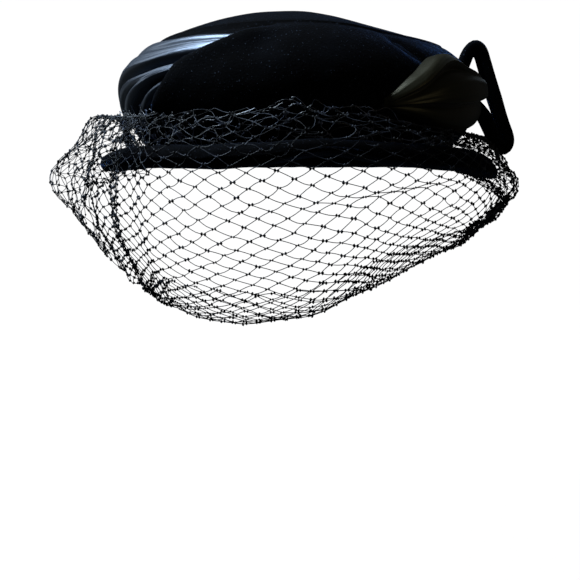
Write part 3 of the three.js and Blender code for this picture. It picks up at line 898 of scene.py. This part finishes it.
def gatherPoint(column, row):
    # the crushed upper edge of the net, pinned round the crown's foot
    column, row = np.broadcast_arrays(np.asarray(column, float), np.asarray(row, float))
    turn = follow(veilGather["span"], "column", "turn", column)
    mesh = veilGather["mesh"]
    flat = np.stack([column * mesh["wide"], row * mesh["half"], np.zeros_like(column)], -1)
    turn = turn + lumps(flat, veilGather["stirTurn"])
    low = follow(veilGather["height"], "turn", "low", turn)
    high = follow(veilGather["height"], "turn", "high", turn)
    share = row / veilGather["rows"]
    height = high + (low - high) * share + lumps(flat, veilGather["stirHeight"])
    off = veilGather["off"] + veilGather["flare"] * share * ease(*veilGather["flareShares"], share)
    off = np.maximum(off + lumps(flat, veilGather["stirOff"]), veilGather["closest"])
    highest = veilGather["highest"]
    normal = crownNormal(turn, np.clip(height, veilGather["normalFrom"], highest))
    return crownPoint(turn, np.clip(height, veilGather["lowest"], highest)) + normal * off[..., None]


def makeNetLattice(name, firstColumn, lastColumn, rows, place, seed):
    # knots as single points, and each side of a mesh as a short chain of points
    rng = random.Random(seed)
    jitter = veil["jitter"]
    spots = {}
    for row in range(rows + 1):
        for step in range(firstColumn, lastColumn + 1 - row % 2):
            if row > hemRow(step):
                continue
            column = step + 0.5 * (row % 2) + rng.uniform(-jitter["column"], jitter["column"])
            spots[(row, step)] = (column, row + rng.uniform(-jitter["row"], jitter["row"]))
    where = np.array(list(spots.values()))
    points = list(place(where[:, 0], where[:, 1]))
    knotFlags = [1.0 if row > 0 else 0.0 for row, step in spots]
    parts = np.linspace(0, 1, veil["sidePoints"])
    sides = []
    for row, step in spots:
        for other in ((step - 1, step) if row % 2 == 0 else (step, step + 1)):
            if (row + 1, other) in spots:
                sides.append((spots[(row, step)], spots[(row + 1, other)]))
    ends = np.array(sides)
    sag = np.array([rng.uniform(*jitter["sag"]) for _ in sides])
    along = ends[:, None, 0] + (ends[:, 1] - ends[:, 0])[:, None] * parts[:, None]
    edges = []
    for line in place(along[..., 0], along[..., 1] + sag[:, None] * np.sin(math.pi * parts)):
        start = len(points)
        points.extend(line)
        knotFlags.extend([0.0] * len(parts))
        edges.extend((start + k, start + k + 1) for k in range(len(parts) - 1))
    points = np.array(points)
    mesh = bpy.data.meshes.new(name)
    mesh.from_pydata((points * mm).tolist(), edges, [])
    mesh.attributes.new("knot", "FLOAT", "POINT").data.foreach_set("value", knotFlags)
    # knots lie along the oval, each tilted a little
    lie = np.zeros((len(points), 3))
    lie[:, 1] = [rng.uniform(-jitter["tilt"], jitter["tilt"]) for _ in points]
    lie[:, 2] = np.arctan2(points[:, 0], -points[:, 1])
    mesh.attributes.new("lie", "FLOAT_VECTOR", "POINT").data.foreach_set("vector", lie.reshape(-1))
    piece = bpy.data.objects.new(name, mesh)
    scene.collection.objects.link(piece)
    return piece


def netTree():
    # threads along the edges and a small double knot on every marked point
    lobe = {"apart": 0.28, "scale": (0.42, 0.42, 0.64)}
    size = {"least": 0.7, "most": 1.1}
    tree = bpy.data.node_groups.new("knotted net", "GeometryNodeTree")
    kinds = {"Geometry": "Geometry", "Thread radius": "Float", "Knot length": "Float", "Finish": "Material"}
    made = {name: tree.interface.new_socket(name, in_out="INPUT", socket_type="NodeSocket" + kind)
            for name, kind in kinds.items()}
    tree.interface.new_socket("Geometry", in_out="OUTPUT", socket_type="NodeSocketGeometry")

    def put(kind, links=None, inputs=None, settings=None):
        return addNode(tree, kind, settings, inputs, links).outputs

    given = put("NodeGroupInput")
    lines = put("GeometryNodeMeshToCurve", {"Mesh": given["Geometry"]})
    section = put("GeometryNodeCurvePrimitiveCircle", {"Radius": given["Thread radius"]}, {"Resolution": 3})
    threads = put("GeometryNodeCurveToMesh", {"Curve": lines["Curve"], "Profile Curve": section["Curve"]},
                  {"Fill Caps": True})
    isKnot = put("GeometryNodeInputNamedAttribute", None, {"Name": "knot"}, {"data_type": "FLOAT"})
    lie = put("GeometryNodeInputNamedAttribute", None, {"Name": "lie"}, {"data_type": "FLOAT_VECTOR"})
    ball = put("GeometryNodeMeshIcoSphere", None, {"Radius": 0.5, "Subdivisions": 1})
    pair = addNode(tree, "GeometryNodeJoinGeometry")
    for side in (-1, 1):
        half = put("GeometryNodeTransform", {"Geometry": ball["Mesh"]},
                   {"Translation": (side * lobe["apart"], 0, 0), "Scale": lobe["scale"]})
        tree.links.new(half["Geometry"], pair.inputs["Geometry"])
    spots = put("GeometryNodeMeshToPoints", {"Mesh": given["Geometry"]})
    kept = put("GeometryNodeSeparateGeometry",
               {"Geometry": spots["Points"], "Selection": isKnot["Attribute"]}, None, {"domain": "POINT"})
    # sockets 2 and 3 of the random value are its least and most, and its output 1 is the plain number
    share = put("FunctionNodeRandomValue", None, {2: size["least"], 3: size["most"], "Seed": 4},
                {"data_type": "FLOAT"})
    scale = put("ShaderNodeMath", {0: share[1], 1: given["Knot length"]}, None, {"operation": "MULTIPLY"})
    knots = put("GeometryNodeInstanceOnPoints",
                {"Points": kept["Selection"], "Instance": pair.outputs["Geometry"],
                 "Rotation": lie["Attribute"], "Scale": scale[0]})
    both = addNode(tree, "GeometryNodeJoinGeometry")
    tree.links.new(threads["Mesh"], both.inputs["Geometry"])
    tree.links.new(knots["Instances"], both.inputs["Geometry"])
    soft = put("GeometryNodeSetShadeSmooth", {"Geometry": both.outputs["Geometry"]})
    real = put("GeometryNodeRealizeInstances", {"Geometry": soft["Geometry"]})
    done = put("GeometryNodeSetMaterial", {"Geometry": real["Geometry"], "Material": given["Finish"]})
    put("NodeGroupOutput", {"Geometry": done["Geometry"]})
    return tree, {name: socket.identifier for name, socket in made.items()}


def makeNet(name, lattice, finish):
    modifier = lattice.modifiers.new("net", "NODES")
    modifier.node_group = tree
    modifier[sockets["Thread radius"]] = veil["threadThick"] / 2 * mm
    modifier[sockets["Knot length"]] = veil["knotLong"] * mm
    modifier[sockets["Finish"]] = finish
    bpy.context.view_layer.update()
    evaluated = lattice.evaluated_get(bpy.context.evaluated_depsgraph_get())
    mesh = bpy.data.meshes.new_from_object(evaluated)
    piece = bpy.data.objects.new(name, mesh)
    scene.collection.objects.link(piece)
    bpy.data.objects.remove(lattice)
    mesh.calc_loop_triangles()
    print("hat:", name, len(mesh.loop_triangles), "triangles")
    return piece


tree, sockets = netTree()
firstColumn, middle, lastColumn = veil["columns"][0]["column"], veil["parting"], veil["columns"][-1]["column"]
lastRow = veil["rows"][-1]["row"]
left = makeNetLattice("left", firstColumn, middle, lastRow, netPoint, 11)
netLeft = makeNet("veil_net_left", left, thread)
right = makeNetLattice("right", middle, lastColumn, lastRow, netPoint, 12)
netRight = makeNet("veil_net_right", right, thread)
gather = makeNetLattice("gather", 0, veilGather["columns"], veilGather["rows"], gatherPoint, 13)
netGather = makeNet("veil_gather", gather, paintedLitThread)


def dress(piece, node):
    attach(piece, "root")
    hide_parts(node)


dress(crownSide, "crown_side")
dress(crownTop, "crown_top")
dress(brimPiece, "brim")
dress(drapePiece, "satin_drape_left")
dress(puffPiece, "satin_puff_right")
dress(bowPiece, "bow_loop")
dress(netLeft, "veil")
dress(netRight, "veil")
dress(netGather, "veil")


camera = {"x": -5, "y": -486, "z": 0, "down": 8.37, "lens": 52.76, "sensor": 36, "near": 10}
cameraData = bpy.data.cameras.new("camera")
cameraData.lens = camera["lens"]
cameraData.sensor_width = camera["sensor"]
cameraData.clip_start = camera["near"] * mm
cameraObject = bpy.data.objects.new("camera", cameraData)
cameraObject.location = (camera["x"] * mm, camera["y"] * mm, camera["z"] * mm)
cameraObject.rotation_euler = (math.radians(90 - camera["down"]), 0, 0)
scene.collection.objects.link(cameraObject)
scene.camera = cameraObject


def softbox(name, place, size, power, colour, aim=Vector((0, 0, 0.02))):
    data = bpy.data.lights.new(name, "AREA")
    data.shape = "RECTANGLE"
    data.size, data.size_y = size
    data.energy = power
    data.color = colour
    lamp = bpy.data.objects.new(name, data)
    lamp.location = place
    lamp.rotation_euler = (aim - Vector(place)).to_track_quat("-Z", "Y").to_euler()
    scene.collection.objects.link(lamp)


softbox("window", (-0.6, 0.02, 1.0), (0.36, 0.6), 34, (0.7, 0.85, 1.0))
softbox("over", (-0.9, 0.5, 0.75), (0.7, 0.6), 3, (0.7, 0.84, 1.0))
softbox("fill", (0.9, -0.9, 0.3), (0.7, 0.7), 1.2, (1.0, 0.92, 0.76))


def seenWhite(tree, strength):
    # white where it is looked at, so that the backdrop stays even and throws little light on the cloth
    path = addNode(tree, "ShaderNodeLightPath")
    return addNode(tree, "ShaderNodeMath", {"operation": "MULTIPLY"}, {1: strength},
                   {0: path.outputs["Is Camera Ray"]})


world = bpy.data.worlds.new("studio")
world.use_nodes = True
scene.world = world
worldTree = world.node_tree
worldTree.nodes.clear()
whiteness = seenWhite(worldTree, 1.0)
level = addNode(worldTree, "ShaderNodeMath", {"operation": "ADD"}, {1: 0.03}, {0: whiteness.outputs[0]})
paper = addNode(worldTree, "ShaderNodeBackground", None, {"Color": (1, 1, 1, 1)},
                {"Strength": level.outputs[0]})
addNode(worldTree, "ShaderNodeOutputWorld", None, None, {"Surface": paper.outputs["Background"]})


def makeFloor():
    # a grey board that sweeps up behind, and is seen white
    sweep = {"half": 1.6, "below": 0.16, "front": -1.2, "bend": 0.9, "radius": 0.7, "top": 1.6, "steps": 12}
    level = cadLow[2] - sweep["below"]
    profile = [(sweep["front"], level), (sweep["bend"], level)]
    for step in range(1, sweep["steps"] + 1):
        angle = 0.5 * math.pi * step / sweep["steps"]
        profile.append((sweep["bend"] + sweep["radius"] * math.sin(angle),
                        level + sweep["radius"] * (1 - math.cos(angle))))
    profile.append((sweep["bend"] + sweep["radius"], level + sweep["top"]))
    points = [(side * sweep["half"], y, z) for y, z in profile for side in (-1, 1)]
    faces = [(2 * k, 2 * k + 1, 2 * k + 3, 2 * k + 2) for k in range(len(profile) - 1)]
    mesh = bpy.data.meshes.new("floor")
    mesh.from_pydata(points, [], faces)
    mesh.polygons.foreach_set("use_smooth", [True] * len(mesh.polygons))
    floor = bpy.data.objects.new("floor", mesh)
    scene.collection.objects.link(floor)
    material, tree = newMaterial("painted board")
    glow = seenWhite(tree, 1.0)
    addShader(tree,
              {"Base Color": toLinear("#343433"), "Roughness": 0.9, "Specular IOR Level": 0.1,
               "Emission Color": (1, 1, 1, 1)},
              {"Emission Strength": glow.outputs[0]})
    mesh.materials.append(material)
    return floor


makeFloor()
scene.view_settings.view_transform = "Standard"
print("hat: camera and light set")
